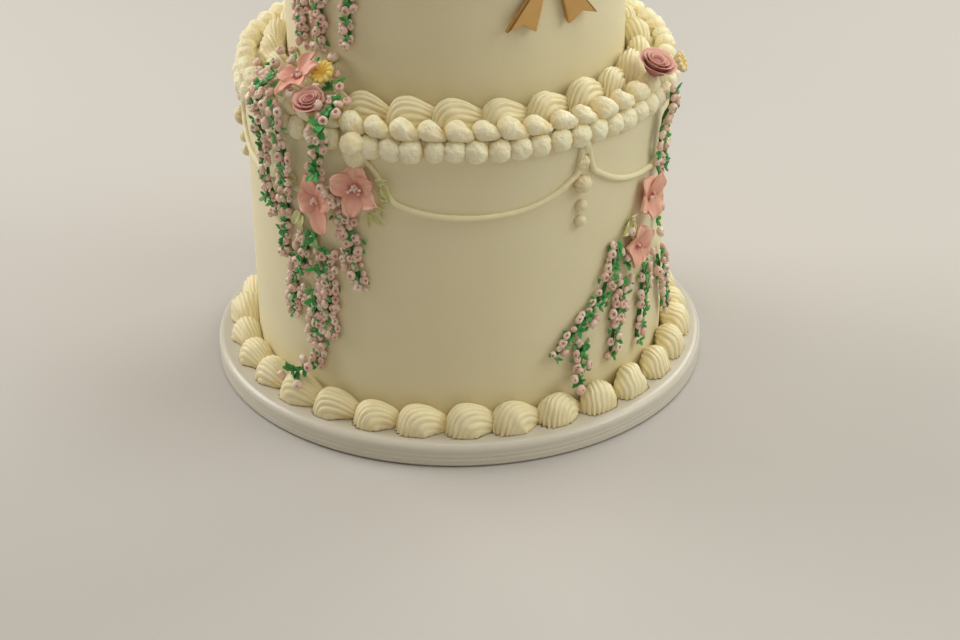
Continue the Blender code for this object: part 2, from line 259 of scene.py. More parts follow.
wallLook = dict(
    glow=0.12, glowDepth=0.004, shine=0.42, blotchScale=22, blotch=0.55, blotchTint=(0.965, 0.955, 0.915, 1),
    grainScale=620, grain=0.3, grainTint=(0.955, 0.945, 0.915, 1), smooth=0.46, rough=0.66, pitScale=420,
    relief=0.00005)
pipedLook = dict(
    wallLook, glow=0.2, shine=0.46, blotchScale=90, blotch=0.5, blotchTint=(0.975, 0.955, 0.9, 1), grainScale=900,
    grain=0.45, grainTint=(0.965, 0.95, 0.9, 1), smooth=0.4, rough=0.6, pitScale=620, relief=0.00008)
pearlLook = dict(pipedLook, grainScale=560, grain=0.7, pitScale=420, relief=0.0007, blotchScale=260)
petalLook = dict(
    wallLook, glowDepth=0.002, shine=0.4, blotchScale=240, blotch=0.7, relief=0.00007,
    blotchTint=(0.93, 0.86, 0.84, 1), grainScale=1100, grain=0.55, grainTint=(0.94, 0.89, 0.87, 1), smooth=0.42,
    pitScale=800)
wallIcing, pipedIcing = icingFinish("wallIcing", wallLook), icingFinish("pipedIcing", pipedLook)
pearlIcing, petalIcing = icingFinish("pearlIcing", pearlLook), icingFinish("petalIcing", petalLook)
print("finishes ready")

# board
board = dict(
    paper=linear(204, 198, 182), edgeRound=0.0034, columns=260, paintedEdgeLight=0.14, wave=0.00012, bandWidth=0.0005,
    bands=((0.0022, 0.00016), (0.0046, 0.00022), (0.0068, 0.00012)))


def boardFinish():
    # satin foil paper: fine creases that run round the edge and a soft cloudiness on top
    finish = Finish("boardFoil", Metallic=0, Specular_IOR_Level=0.62, Coat_Roughness=0.22, Coat_Weight=0.18)
    cloud = finish.cloud(35, 4, 0.3, 0.7)
    speck = finish.cloud(1500, 2, 0.35, 0.7)
    colour = finish.mixed(cloud * 0.6, finish.tint(), (0.95, 0.945, 0.925, 1))
    finish.feed("Base Color", finish.mixed(speck * 0.35, colour, (0.93, 0.93, 0.92, 1)))
    finish.feed("Roughness", finish.ranged(cloud + 0.5 * speck, 0, 1.5, 0.28, 0.44))
    finish.bump(speck, 0.00003)
    return finish.material


def lathe(profile, columns):
    # rows from (radius, height) pairs, turned round the cake
    turn = circle(columns)
    radius, height = np.array(profile).T[..., None]
    return surface(np.sin(turn) * radius, -np.cos(turn) * radius, height)


def closing(radius, top, edge, rows, flat, flatRows):
    # the rounded rim of a profile, then its flat top in to the axis
    rim = [(radius - edge + edge * math.cos(turn), top - edge + edge * math.sin(turn))
           for turn in (math.pi / 2 * row / rows for row in range(1, rows + 1))]
    return rim + [(max(reach, nearAxis), top) for reach in np.linspace(flat, 0, flatRows)]


def makeBoard():
    edge, top, radius = board["edgeRound"], boardTop, boardRadius
    profile = [(nearAxis, 0), (radius - 0.0016, 0), (radius - 0.0007, 0.0003), (radius - 0.0001, 0.0011)]
    for height in np.linspace(0.0015, top - edge, 15):
        groove = sum(depth * math.exp(-((height - at) / board["bandWidth"]) ** 2) for at, depth in board["bands"])
        profile.append((radius - groove, height))
    points = lathe(profile + closing(radius, top, edge, 9, radius * 0.97, 26), board["columns"])
    inside = (points[..., 2] > top - 0.0004) & (np.hypot(points[..., 0], points[..., 1]) < radius - 0.004)
    points[..., 2] += ripple(points, 90, 4) * board["wave"] * inside
    batch = Batch("cake_board")
    # the board's side is painted 14% lighter than its top, a painted highlight on the lit edge
    batch.grid(points, board["paper"] * (1 + board["paintedEdgeLight"] * (points[..., 2:] < top - 0.001)))
    batch.piece("foiledBoard", boardFinish(), "board")


makeBoard()
print("board done")

# tiers; each dot under a joint: how far below the top, its size, how crumbled and how ridged it is
# footShade is a warmer, darker icing, painted shade at the foot of each tier wall
tierLook = dict(
    icing=linear(233, 224, 187), footShade=linear(226, 208, 160), columns=300, edgeRound=0.0048, waver=0.00022,
    scrape=0.00005, topWaver=0.0004, footShadeHeight=0.012)
# creaseShade is a darker warm cream, painted shade in the dots' grooves and undersides
dots = dict(
    creaseShade=linear(208, 180, 126), first=32.7, joints=5, apart=60, column=(
        (0.019, 0.0031, 0.3, 0), (0.0299, 0.0046, 0.04, 0.13), (0.0412, 0.0031, 0.05, 0), (0.0492, 0.0028, 0.05, 0)))


def dotPoints(size, crumbled, ridged, draw):
    # a dot of icing on the wall: a low dome, turned up to a small peak
    phi, theta = circle(26), steps(14, 2.05)
    swell = 1 - ridged * (1 - np.abs(np.sin(4.5 * phi + 0.9 * theta)) ** 0.7) * np.sin(theta)
    local = surface(np.sin(theta) * np.cos(phi), np.sin(theta) * np.sin(phi), np.cos(theta)) * swell[..., None] * size
    rough = uneven(local, draw, ((2.4 / size, 0.6), (5.5 / size, 0.4)), 999)
    local = local * (1 + crumbled * rough)[..., None]
    up = local[..., 1] * 1.04 + 0.1 * size * np.cos(theta)
    # painted shade: the dot's grooves and its lower side take the darker crease colour
    creaseShade = np.clip(8 * (1 - swell) + 0.3 * (theta > 1.2), 0, 1)
    return surface(local[..., 0], (local[..., 2] + 0.4 * size) * 0.95, up), creaseShade


def makeTier(level, radius, bottom, top, seed):
    edge = tierLook["edgeRound"]
    profile = [(nearAxis, bottom), (radius - 0.0003, bottom)]
    profile += [(radius, height) for height in np.linspace(bottom + 0.0005, top - edge, 64)]
    points = lathe(profile + closing(radius, top, edge, 11, (radius - 0.0005) * 0.93, 18), tierLook["columns"])
    swell = ripple(points * np.array([1, 1, 0.55]), 55, seed) * tierLook["waver"]
    swell = swell + ripple(points * np.array([0.06, 0.06, 1]), 1500, seed + 1) * tierLook["scrape"]
    distance = np.maximum(np.hypot(points[..., 0], points[..., 1]), 0.001)
    side = points * np.array([1, 1, 0]) / distance[..., None]
    onTop = points[..., 2] > top - 0.001
    points = points + side * (swell * ~onTop)[..., None]
    points[..., 2] += ripple(points, 120, seed + 2) * tierLook["topWaver"] * (onTop & (distance < radius - 0.007))
    # painted warm shade: the wall is tinted warmer and darker towards its foot, where the shells sit
    low = np.exp(-np.clip(points[..., 2] - bottom, 0, 1) / tierLook["footShadeHeight"])
    batch = Batch(level + "_tier", seed)
    draw = batch.draw
    batch.grid(points, blend(tierLook["icing"], tierLook["footShade"], 0.35 * low))
    for joint in range(dots["joints"]):
        for below, size, crumbled, ridged in dots["column"]:
            dot, creaseShade = dotPoints(size * draw.uniform(0.95, 1.05), crumbled, ridged, draw)
            azimuth = dots["first"] + dots["apart"] * joint + draw.uniform(-0.4, 0.4)
            tint = blend(tierLook["icing"] * 1.03, dots["creaseShade"], creaseShade)
            batch.grid(wrap(dot, azimuth, radius, top - below), tint)
    batch.piece(level + "Tier", wallIcing, "icing")


for seed, (level, sizes) in enumerate(tiers.items(), 11):
    makeTier(level, *sizes, seed)
print("tiers done")

# shells: toe is their reach towards the blunt end, front over the head, tail the thin end
# creamShade is the cream as it looks in shade, painted into grooves and hollows
creamTop, creamShade = linear(239, 230, 191), linear(228, 198, 124)
shells = dict(
    middle=dict(count=26, first=-1, wall=upperRadius, floor=lowerTop, height=0.015, halfWidth=0.0074, middle=0.0072,
        toe=0.0094, front=0.0096, start=196, end=44, tail=0.014, tailSize=0.4, tailIn=0.0024, yaw=12, turn=0,
        axis=0, ridges=10, depth=0.00112, toeLift=0.0005, reach=0.0006, full=0.92, sway=7, sizes=(0.92, 1.04),
        tone=0.985, square=2, scallop=0),
    base=dict(count=31, first=1.3, wall=lowerRadius, floor=boardTop, height=0.0141, halfWidth=0.009, middle=0.007,
        toe=0.0094, front=0.0094, start=190, end=26, tail=0.0118, tailSize=0.46, tailIn=0.0038, yaw=32, turn=54,
        axis=-0.0022, ridges=11, depth=0.00096, toeLift=0.0022, reach=0.0018, full=0.7, sway=9, sizes=(0.9, 1.05),
        tone=1.04, square=2.4, scallop=0.0009))


def shellPoints(shell, azimuth, draw):
    # sections that swing from the toes over the head, then slide along and shrink into the tail
    s, beta = steps(25), np.linspace(0, math.pi, shell["ridges"] * 5 + 1)[None, :]
    size = draw.uniform(*shell["sizes"])
    bend = ease((s - 0.38) / 0.62)
    start, end = shell["start"] + draw.uniform(-4, 4), shell["end"] + draw.uniform(-7, 7)
    alpha = np.radians(start - (start - 90) * np.clip(s / 0.5, 0, 1) - (90 - end) * np.clip((s - 0.5) / 0.5, 0, 1))
    scale = (1 - (1 - shell["tailSize"]) * bend) * size
    low = np.where(alpha > math.pi / 2, shell["toe"], shell["front"])
    height = shell["height"] * draw.uniform(0.95, 1.02) - shell["axis"]
    power = shell["square"]
    radius = ((np.abs(np.cos(alpha)) / low) ** power + (np.abs(np.sin(alpha)) / height) ** power) ** (-1 / power)
    phase = draw.uniform(-0.3, 0.3)
    lobes = np.abs(np.sin(shell["ridges"] * beta + phase * np.sin(beta)))
    depth = shell["depth"] * draw.uniform(0.85, 1.15) * (1 - 0.35 * bend)
    groove = depth * (1 - lobes ** 0.65) * np.sin(beta) ** 0.35
    toes = shell["toeLift"] * (lobes - 0.4) * np.exp(-(s / 0.17) ** 2)
    across = (shell["halfWidth"] * scale - groove) * np.cos(beta)
    rise = (radius * scale - groove + toes) * np.sin(beta) ** shell["full"]
    place = (azimuth + 180) % 360 - 180
    outwards = ease((place - 20) / 20) - ease((place - 110) / 50)
    alongWall = ease((-place - 10) / 35) - ease((-place - 110) / 50)
    aim = shell["yaw"] + shell["turn"] * (outwards - 0.37 * alongWall)
    yaw = np.radians((aim + draw.uniform(-1, 1) * shell["sway"]) * (1 - 0.75 * bend))
    along = shell["tail"] * bend * size + rise * np.cos(alpha) * np.cos(yaw) + across * np.sin(yaw)
    out = shell["middle"] - shell["tailIn"] * bend - rise * np.cos(alpha) * np.sin(yaw) + across * np.cos(yaw)
    local = surface(along, out, shell["axis"] + rise * np.sin(alpha))
    local = local + uneven(local, draw, ((420, 1),))[..., None] * 0.0003
    foot = np.exp(-(local[..., 2] / 0.0018) ** 2) * (local[..., 1] > shell["middle"])
    local[..., 1] += shell["scallop"] * foot * (np.abs(np.sin(math.pi * local[..., 0] / 0.0027)) - 0.6)
    local[..., 1] = np.clip(local[..., 1], -0.0004, shell["middle"] * 2 + shell["reach"])
    local[..., 2] = np.maximum(local[..., 2], 0.0003)
    # painted shade: darker in the grooves between ridges, low down by the floor and on the tail tucked under the next
    # shell
    shade = np.clip(1 - local[..., 2] / 0.006, 0, 1) ** 2
    return local, np.clip(0.34 * (1 - lobes) ** 1.6 + 0.4 * shade + 0.5 * bend ** 2, 0, 1)


def makeShells(name, shell):
    batch = Batch(name + "_shells")
    draw = batch.draw
    for number in range(shell["count"]):
        azimuth = shell["first"] + 360 * number / shell["count"] + draw.uniform(-0.5, 0.5)
        local, creaseShade = shellPoints(shell, azimuth, draw)
        # the row's tone is painted light and shade: the base row is painted 4% lighter and the middle row 1.5% darker
        # than the same cream
        tone = creamTop * draw.uniform(0.985, 1.01) * shell["tone"]
        placed = wrap(local, azimuth, shell["wall"], shell["floor"])
        batch.grid(placed, blend(tone, creamShade, creaseShade), ring=False, loop=True)
    batch.piece(name + "Shells", pipedIcing, "icing")


for name, shell in shells.items():
    makeShells(name, shell)
print("shells done")

# pearls
# pearlShade is the pearl icing as it looks in shade, painted into hollows and where pearls meet
pearlTop, pearlShade = linear(254, 247, 214), linear(240, 217, 156)
largePearls = dict(
    pitch=0.0125, back=0.0055, ahead=0.0096, round=0.0053, inset=0.0018, lift=0.0035, sink=0.0026, swing=0.0012,
    rough=((620, 0.9), (1700, 0.4), (4600, 0.25)), relief=0.0003)
smallPearls = dict(
    pitch=0.0101, half=(0.0059, 0.0054, 0.006), drop=0.0058,
    rough=((3.4, 0.036), (8, 0.018), (17, 0.012), (34, 0.016)))


def ball(rows, columns, reach=math.pi):
    # a whole ball, or with a smaller reach only the part that looks out
    theta = steps(rows, math.pi)
    phi = np.linspace(-reach, reach, columns, endpoint=reach < math.pi)[None, :]
    return surface(np.cos(theta), np.sin(theta) * np.cos(phi), np.sin(theta) * np.sin(phi))


def makeLargePearls(level, radius, top):
    batch = Batch("large_pearls_" + level)
    draw = batch.draw
    count = round(math.tau * (radius - 0.002) / largePearls["pitch"])
    turn, share = circle(30), (1 - np.cos(steps(30, math.pi))) / 2
    for number in range(count):
        size = draw.uniform(0.92, 1.06)
        back, ahead = largePearls["back"] * size, largePearls["ahead"] * draw.uniform(0.9, 1.1)
        along = -back + (back + ahead) * share
        head = np.sqrt(np.clip(1 - (np.minimum(along, 0) / back) ** 2, 0, 1))
        tail = np.clip(1 - (np.maximum(along, 0) / ahead) ** 1.7, 0, 1) ** 0.8
        lines = 0.055 * (1 - np.abs(np.sin(2.5 * turn + 120 * along + draw.uniform(0, 6.28))) ** 0.7)
        thick = largePearls["round"] * size * head * tail * (1.02 - lines)
        out = thick * np.cos(turn) - largePearls["inset"] + largePearls["swing"] * ease(along / ahead)
        up = thick * np.sin(turn) * 0.98 + largePearls["lift"] - largePearls["sink"] * ease(along / ahead)
        tilt = math.radians(draw.uniform(-8, 10))
        local = surface(along, out, up - along * math.tan(tilt) * 0.5)
        rough = uneven(local, draw, largePearls["rough"])
        local = local + rough[..., None] * largePearls["relief"]
        # painted shade: darker where each pearl tucks under the next, on its underside, in its swirl lines and in its
        # dips
        creaseShade = np.clip(0.75 * ease((along - 0.002) / 0.006) + 0.75 * ease((-0.0024 - along) / 0.003)
                         + 0.4 * ease(-0.3 - np.sin(turn)) + 7 * lines - 0.5 * rough, 0, 1)
        azimuth = -0.6 + 360 * number / count + draw.uniform(-0.5, 0.5)
        batch.grid(wrap(local, azimuth, radius, top), blend(pearlTop, pearlShade, creaseShade * 0.62))
    batch.piece("largePearls-" + level, pearlIcing, "icing")


def makeSmallPearls(level, radius, top):
    batch = Batch("small_pearls_" + level)
    draw = batch.draw
    count = round(math.tau * radius / smallPearls["pitch"])
    dome = ball(28, 22, 1.8)
    swirl = np.arctan2(dome[..., 2], dome[..., 1])
    touchShade = ease((np.abs(dome[..., 0]) - 0.6) / 0.4) + 0.7 * ease((np.abs(dome[..., 2]) - 0.6) / 0.4)
    for number in range(count):
        size = draw.uniform(0.93, 1.05)
        folds = 0.045 * np.abs(np.sin(2.5 * swirl + 3.2 * dome[..., 0] + draw.uniform(0, 6.28))) ** 0.7 - 0.03
        swell = uneven(dome, draw, smallPearls["rough"]) + folds
        local = dome * (1 + swell)[..., None] * np.array(smallPearls["half"]) * size
        local[..., 1] = np.maximum(local[..., 1], -0.0006)
        # painted shade where each pearl meets its neighbours and in its hollows
        tint = blend(pearlTop, pearlShade, np.clip(0.65 * touchShade - 2 * swell, 0, 0.8))
        azimuth = -0.5 + 360 * number / count + draw.uniform(-0.45, 0.45)
        height = top - smallPearls["drop"] + draw.uniform(-0.0005, 0.0005)
        batch.grid(wrap(local, azimuth, radius, height), tint, ring=False)
    batch.piece("smallPearls-" + level, pearlIcing, "icing")


for level, (radius, bottom, top) in tiers.items():
    makeLargePearls(level, radius, top)
    makeSmallPearls(level, radius, top)
print("pearls done")

# swags: strings of icing between the joints, and a drop at each joint; one joint also has a knob
swag = dict(
    count=6, azimuth=34, low=0.0393, rise=0.0208, sag=3.2, end=0.0105, width=0.00145, spread=0.75, proud=0.0009,
    drops=(0.6, 0.86, 0.8, 0.88, 0.62, 1.5), dropHeight=0.0125, knobbed=5, kink=0.01, knob=0.0054, knobOut=0.0044,
    knobHeight=0.004, knobWaves=((4, 3, 0.045), (11, 4, 0.03), (26, 5, 0.022)))


def throughPoints(points, between):
    # a smooth line through given points
    points = [np.asarray(point, dtype=float) for point in points]
    ends = [2 * points[0] - points[1], *points, 2 * points[-1] - points[-2]]
    line = []
    for a, b, c, d in zip(ends, ends[1:], ends[2:], ends[3:]):
        for t in np.arange(between) / between:
            line.append(0.5 * (2 * b + (c - a) * t + (2 * a - 5 * b + 4 * c - d) * t * t
                               + (3 * b - a - 3 * c + d) * t ** 3))
    return np.array(line + [points[-1]])


def evenSteps(line, step):
    lengths = np.concatenate([[0], np.cumsum(np.linalg.norm(np.diff(line, axis=0), axis=1))])
    wanted = np.linspace(0, lengths[-1], max(2, round(lengths[-1] / step)) + 1)
    return np.stack([np.interp(wanted, lengths, line[:, axis]) for axis in range(3)], axis=-1)


def tube(line, radius, sides, seed, rough=0.05):
    # a round string along a line, with its thickness a little uneven and its ends closed
    along = unit(np.gradient(line, axis=0))
    side = unit(np.cross(unit(line * np.array([1, 1, 0])), along))
    turn = circle(sides)[..., None]
    thick = radius * (1 + rough * ripple(line, 900, seed))
    thick[0] = thick[-1] = 1e-6
    ring = side[:, None, :] * np.cos(turn) + np.cross(along, side)[:, None, :] * np.sin(turn)
    return line[:, None, :] + ring * thick[:, None, None]


def swagLine(radius, top, middle, kink):
    half = 180 / swag["count"]
    reach = radius + swag["proud"]
    points = []
    for share in np.linspace(-0.92, 0.92, 25):
        rise = swag["rise"] * (math.cosh(swag["sag"] * share) - 1) / (math.cosh(swag["sag"]) - 1)
        rise += kink * ease((-share - 0.66) / 0.2)
        points.append(spot(middle + share * half, reach, top - swag["low"] + rise))
    first, last = (spot(middle + side * (half - swag["spread"]), reach, top - swag["end"]) for side in (-1, 1))
    return evenSteps(throughPoints([first, *points, last], 8), 0.0011)


def dropPoints(draw, size):
    # a ridged drop that hangs from the pearls with its tip where the two strings meet
    share, turn = (1 - np.cos(steps(26, math.pi))) / 2, circle(26)
    wide = 0.0048 * size * np.sqrt(np.clip(1 - (np.minimum(share - 0.36, 0) / 0.36) ** 2, 0, 1))
    wide = wide * np.clip(1 - (np.maximum(share - 0.36, 0) / 0.64) ** 1.35, 0, 1)
    wide = wide * (1 - 0.15 * (1 - np.abs(np.sin(5 * turn + 1.2 * share)) ** 0.7))
    local = surface(wide * np.cos(turn), wide * np.sin(turn) * 0.95 + 0.0008, (0.0078 - 0.015 * share) * size)
    return local + uneven(local, draw, ((700, 1),), 999)[..., None] * 0.0001


def makeSwags(level, radius, top):
    batch = Batch("swags_" + level)
    draw = batch.draw
    half = 180 / swag["count"]
    for number, size in enumerate(swag["drops"]):
        joint = swag["azimuth"] + 2 * number * half
        knobbed = number == swag["knobbed"]
        line = swagLine(radius, top, joint + half, swag["kink"] * knobbed)
        thick = swag["width"] * (1 + 0.06 * np.sin(np.linspace(0, 9, len(line)) + number))
        batch.grid(tube(line, thick, 12, number), creamTop * 0.985)
        # the drop under the knob is painted 2% lighter against the knob's shade; the other drops take a touch of
        # painted shade
        tone = creamTop * 1.02 if knobbed else blend(creamTop, creamShade, 0.12)
        batch.grid(wrap(dropPoints(draw, size), joint, radius, top - swag["dropHeight"]), tone)
        if knobbed:
            knob = ball(28, 34)
            rough = sum(ripple(knob, *wave) * share for *wave, share in swag["knobWaves"])
            knob = knob * (1 + rough)[..., None] * swag["knob"] + np.array([0, swag["knobOut"], 0])
            # painted shade: the knob is a little darker all over and darker still in its dips
            tint = blend(pearlTop, pearlShade, np.clip(0.3 - 5 * rough, 0, 0.8))
            batch.grid(wrap(knob, joint, radius, top - swag["knobHeight"]), tint)
    batch.piece("stringSwags-" + level, pipedIcing, "icing")


for level, (radius, bottom, top) in tiers.items():
    makeSwags(level, radius, top)
print("swags done")

# petals, beads and small leaves
pinkPale, pinkDeep = linear(247, 200, 177), linear(226, 156, 133)
budWhite, budRose = linear(234, 208, 194), linear(176, 112, 104)
leafPale, leafDeep = linear(222, 224, 168), linear(184, 196, 124)


def petalPoints(length, width, tip, lift, curl, cup, frill, seed, start=0, bend=0, thick=0.0011, shoulder=0.72):
    # a thick cupped petal: rows run from its base to its tip, columns round its two faces
    u, turn = steps(16), circle(30)
    v = np.sign(np.cos(turn)) * np.abs(np.cos(turn)) ** 0.8
    half = width / 2 * np.sin(math.pi * (0.05 + 0.95 * u ** shoulder)) ** tip
    half[-1] = 1e-6
    thick = thick * np.sin(turn) * np.sin(math.pi * np.clip(0.1 + 0.9 * u, 0, 0.995)) ** 0.35
    veins = 0.0003 * np.abs(np.sin(3.4 * math.pi * v + 1.5 * u)) * (np.sin(turn) > 0) * u
    rise = lift * u ** 1.3 - curl * u ** 4 + cup * v * v * np.sin(math.pi * u * 0.9)
    rise = rise + frill * np.sin(9 * u + 4 * v + seed) * np.abs(v) ** 2 * u + thick - veins
    return surface(half * v + bend * u * u, start + (length - start) * u, rise), u, v


def turned(local, angle):
    turn = math.radians(angle)
    x, y, z = np.moveaxis(local, -1, 0)
    return surface(x * math.sin(turn) + y * math.cos(turn), y * math.sin(turn) - x * math.cos(turn), z)


def addBeads(batch, placement, count, ring, size, height, tints, draw, wide=1, tall=1):
    bead = ball(9, 12)
    for number in range(count):
        turn = number * 2.4 + draw.uniform(-0.3, 0.3)
        reach = ring * math.sqrt(number / count) * draw.uniform(0.9, 1.2)
        centre = np.array([math.cos(turn) * reach * wide, math.sin(turn) * reach * tall,
                           height + draw.uniform(-0.4, 0.6) * size])
        batch.grid(settle(bead * size * draw.uniform(0.85, 1.15) + centre, placement), draw.choice(tints))


# beads are their count, spread, width and height; each petal is its direction in degrees
# as seen from the front, its length and width in millimetres, and how pointed its tip is
blossoms = dict(
    left_1=dict(place=(-37.2, 0.1087, 0.124, 4), beads=(8, 0.0017, 1, 0.8), petals=((114, 14, 9.6, 0.95),
        (4, 11.5, 9.6, 0.8), (-68, 17, 11.2, 0.62), (-160, 11, 10.6, 0.75), (52, 9.5, 8.6, 0.8))),
    left_2=dict(place=(-25.4, 0.1087, 0.1352, 6), beads=(13, 0.003, 1.25, 0.72), petals=((92, 12.4, 14, 0.66),
        (164, 13, 12.4, 0.7), (-30, 13.4, 10.6, 0.8), (-96, 13.6, 11, 0.55), (28, 10.4, 10, 0.75))),
    right_1=dict(place=(59.2, 0.1072, 0.109, 2), beads=(9, 0.002, 1, 0.9), petals=((112, 12.8, 12.6, 0.66),
        (44, 12.8, 12.2, 0.66), (-26, 12.4, 11.8, 0.66), (-88, 13.2, 12.4, 0.56), (-160, 12, 12.2, 0.7))),
    right_2=dict(place=(53.4, 0.107, 0.0868, 0), beads=(6, 0.0013, 1, 1), petals=((92, 11.2, 12, 0.64),
        (20, 11.6, 11.4, 0.66), (-52, 11.4, 11.6, 0.56), (-120, 11.4, 11.4, 0.56), (168, 11, 11.2, 0.66))),
    ledge=dict(place=(-46.4, 0.1008, 0.1786, 58), beads=(9, 0.0019, 1, 1), petals=((96, 15, 6.8, 0.85),
        (50, 12.4, 7, 0.9), (200, 10.4, 10, 0.6), (262, 14.2, 6.4, 0.95), (-36, 10.4, 7.6, 0.8))),
    top=dict(place=(-50, 0.061, 0.3122, 66), beads=(10, 0.0022, 1, 1), petals=((96, 12.6, 11.4, 0.68),
        (24, 12.6, 11, 0.72), (-50, 12.2, 11, 0.68), (-120, 12.6, 11.2, 0.62), (168, 12, 11.2, 0.72))))


def makeBlossom(name, blossom):
    batch = Batch("blossom_" + name)
    draw = batch.draw
    placement = facing(*blossom["place"])
    foot = ball(12, 18) * np.array([0.0026, 0.0026, 0.003])
    batch.grid(settle(foot[..., [1, 2, 0]] - np.array([0, 0, 0.0004]), placement), pinkDeep)
    for number, (angle, length, width, tip) in enumerate(blossom["petals"]):
        petal = dict(lift=0.0042 + draw.uniform(-0.0006, 0.001), curl=0.0016 + draw.uniform(0, 0.0014),
                     cup=0.0017 + draw.uniform(-0.0004, 0.0008), bend=draw.uniform(-0.0012, 0.0012),
                     seed=draw.uniform(0, 6), frill=0.0009, shoulder=0.86, start=0.0008)
        local, u, v = petalPoints(length / 1000, width / 1000, tip, **petal)
        streak = 0.27 * np.sin(9 * v + petal["seed"] + 2 * u) * u
        share = np.clip(0.85 - 0.8 * u + 0.25 * np.abs(v) * (1 - u) + streak, 0, 1)
        edge = np.clip((np.abs(v) - 0.8) * 3 + (u - 0.88) * 4, 0, 1)
        tint = blend(blend(pinkPale, pinkDeep, share), pinkPale * 1.04, edge * 0.5)
        raised = turned(local, angle) + np.array([0, 0, 0.0005]) * (number % 2)
        batch.grid(settle(raised, placement), tint)
    count, ring, wide, tall = blossom["beads"]
    addBeads(batch, placement, count, ring, 0.00085, 0.0026, (budWhite, budWhite, budRose * 1.2), draw, wide, tall)
    batch.piece("blossom-" + name.replace("_", "-"), petalIcing, "blossom")


for name, blossom in blossoms.items():
    makeBlossom(name, blossom)
print("blossoms done")

# strands
# floretRose is a darker rose, the florets' painted shade
strandLook = dict(
    step=0.004, floret=0.00222, floretPale=linear(232, 198, 180), floretWhite=linear(247, 230, 212),
    floretRose=linear(198, 128, 112), green=linear(80, 184, 92), greenDark=linear(44, 128, 60),
    greenPale=linear(150, 190, 122), core=0.0009, slide=0.0012, tuft=0.0031)


def hanging(azimuth, lean=0, radius=lowerRadius, top=lowerTop):
    # off the ledge, over the pearls and down to the wall, in millimetres from the wall and the top
    stops = ((0, -4, 10.2), (0, 0.8, 9.8), (0.1, 5.6, 5.5), (0.5, 6.3, -3), (0.85, 6, -11), (1, 3.5, -16.5))
    return [(azimuth + lean * share, radius + out / 1000, top + up / 1000) for share, out, up in stops]


def onWall(*stops, radius=lowerRadius, proud=0):
    return [(azimuth, radius + 0.0006 + proud, height / 1000) for azimuth, height in stops]


# each strand: its width in millimetres, how full it is, and the stops of its route
strands = dict(
    left_1=(10.4, 1, hanging(-57.2) + onWall((-56.8, 134), (-56.6, 122), proud=0.0026) + onWall((-56.4, 112),
        (-56.3, 105))),
    left_2=(10.4, 1, hanging(-50, 1.4)[2:] + onWall((-48.2, 134), (-48.6, 124), proud=0.0026) + onWall((-50.2, 112),
        (-52.2, 86))),
    left_3=(12, 1, hanging(-32.4, -3.8) + onWall((-36.4, 140.5), proud=0.0026)),
    left_4=(13.4, 1.25, onWall((-41.4, 104), (-44.2, 88), (-48, 73), (-49.2, 56))),
    left_5=(13.4, 1.25, onWall((-36, 97), (-36, 84), (-36, 70), (-35.6, 52))),
    left_6=(15, 1.3, onWall((-41, 73), (-40.4, 60), (-40.2, 46), (-41.2, 33))),
    left_7=(15.5, 1.3, onWall((-29.6, 117), (-28.8, 107), (-27.8, 96), (-26, 82))),
    right_1=(9, 0.9, hanging(69.2, -2.2)[3:] + onWall((65.9, 136), (65.6, 127), (66, 119), proud=0.002)),
    right_2=(12, 0.8, onWall((45.8, 92), (43.2, 78), (40.4, 68), (35.6, 60), (31.4, 53), (25.8, 43))),
    right_3=(9.8, 0.9, onWall((34.2, 46), (33.8, 40), (33.2, 31))),
    right_4=(10.6, 0.9, onWall((48.4, 71), (46.5, 52), (44.3, 33))),
    right_5=(10.6, 0.9, onWall((59.4, 69), (58.4, 50), (56.4, 31))),
    right_6=(12.4, 1, onWall((67.6, 70), (72.4, 51), (76.6, 31), proud=0.0014)))
for number, (azimuth, end, width, full) in enumerate(
        ((-58, 187, 16.5, 1.3), (-48.4, 189, 17, 1.3), (-35.8, 195, 11.4, 1)), 1):
    over = onWall((azimuth, 286), (azimuth + 0.6, 268), radius=upperRadius, proud=0.0026)
    down = onWall((azimuth - 0.6, 255), (azimuth + 0.8, 232), (azimuth, end), radius=upperRadius)
    strands["upper_%d" % number] = (width, full, hanging(azimuth, 0, upperRadius, upperTop) + over + down)


def addFloret(batch, placement, size, draw):
    # a small bud, half closed: out of its foot, up to a narrow rim and down into the throat
    mouth = 0.56 - 0.38 * draw.uniform(0, 1)
    profile = np.array(((0.02, 0), (0.62, 0.06), (0.94, 0.42), (1, 0.86), (mouth + 0.28, 1.22), (mouth, 1.3),
                        (mouth * 0.66, 1.06), (0.02, 0.78)))
    turn = circle(12)
    lobes = draw.choice((3, 4, 5))
    spin = draw.uniform(0, 6.28)
    radius, height = profile.T[..., None]
    wave = 1 + 0.1 * np.cos(lobes * turn + spin) * (height / 1.3) ** 1.5
    x = radius * wave * np.cos(turn) * draw.uniform(0.8, 1)
    y = radius * wave * np.sin(turn)
    z = height * draw.uniform(0.85, 1.15) + 0.1 * np.sin(lobes * turn + spin + 1) * radius * height
    # painted shade: darker rose inside the throat and under the bud's foot
    throat = np.array((0.45, 0.3, 0.12, 0, 0, 0.1, 0.7, 1))[:, None]
    pale = blend(strandLook["floretPale"], strandLook["floretWhite"], draw.uniform(0, 0.9))
    rose = blend(strandLook["floretRose"], pale, draw.uniform(0, 0.4))
    batch.grid(settle(surface(x, y, z) * size, placement), blend(pale, rose, throat))


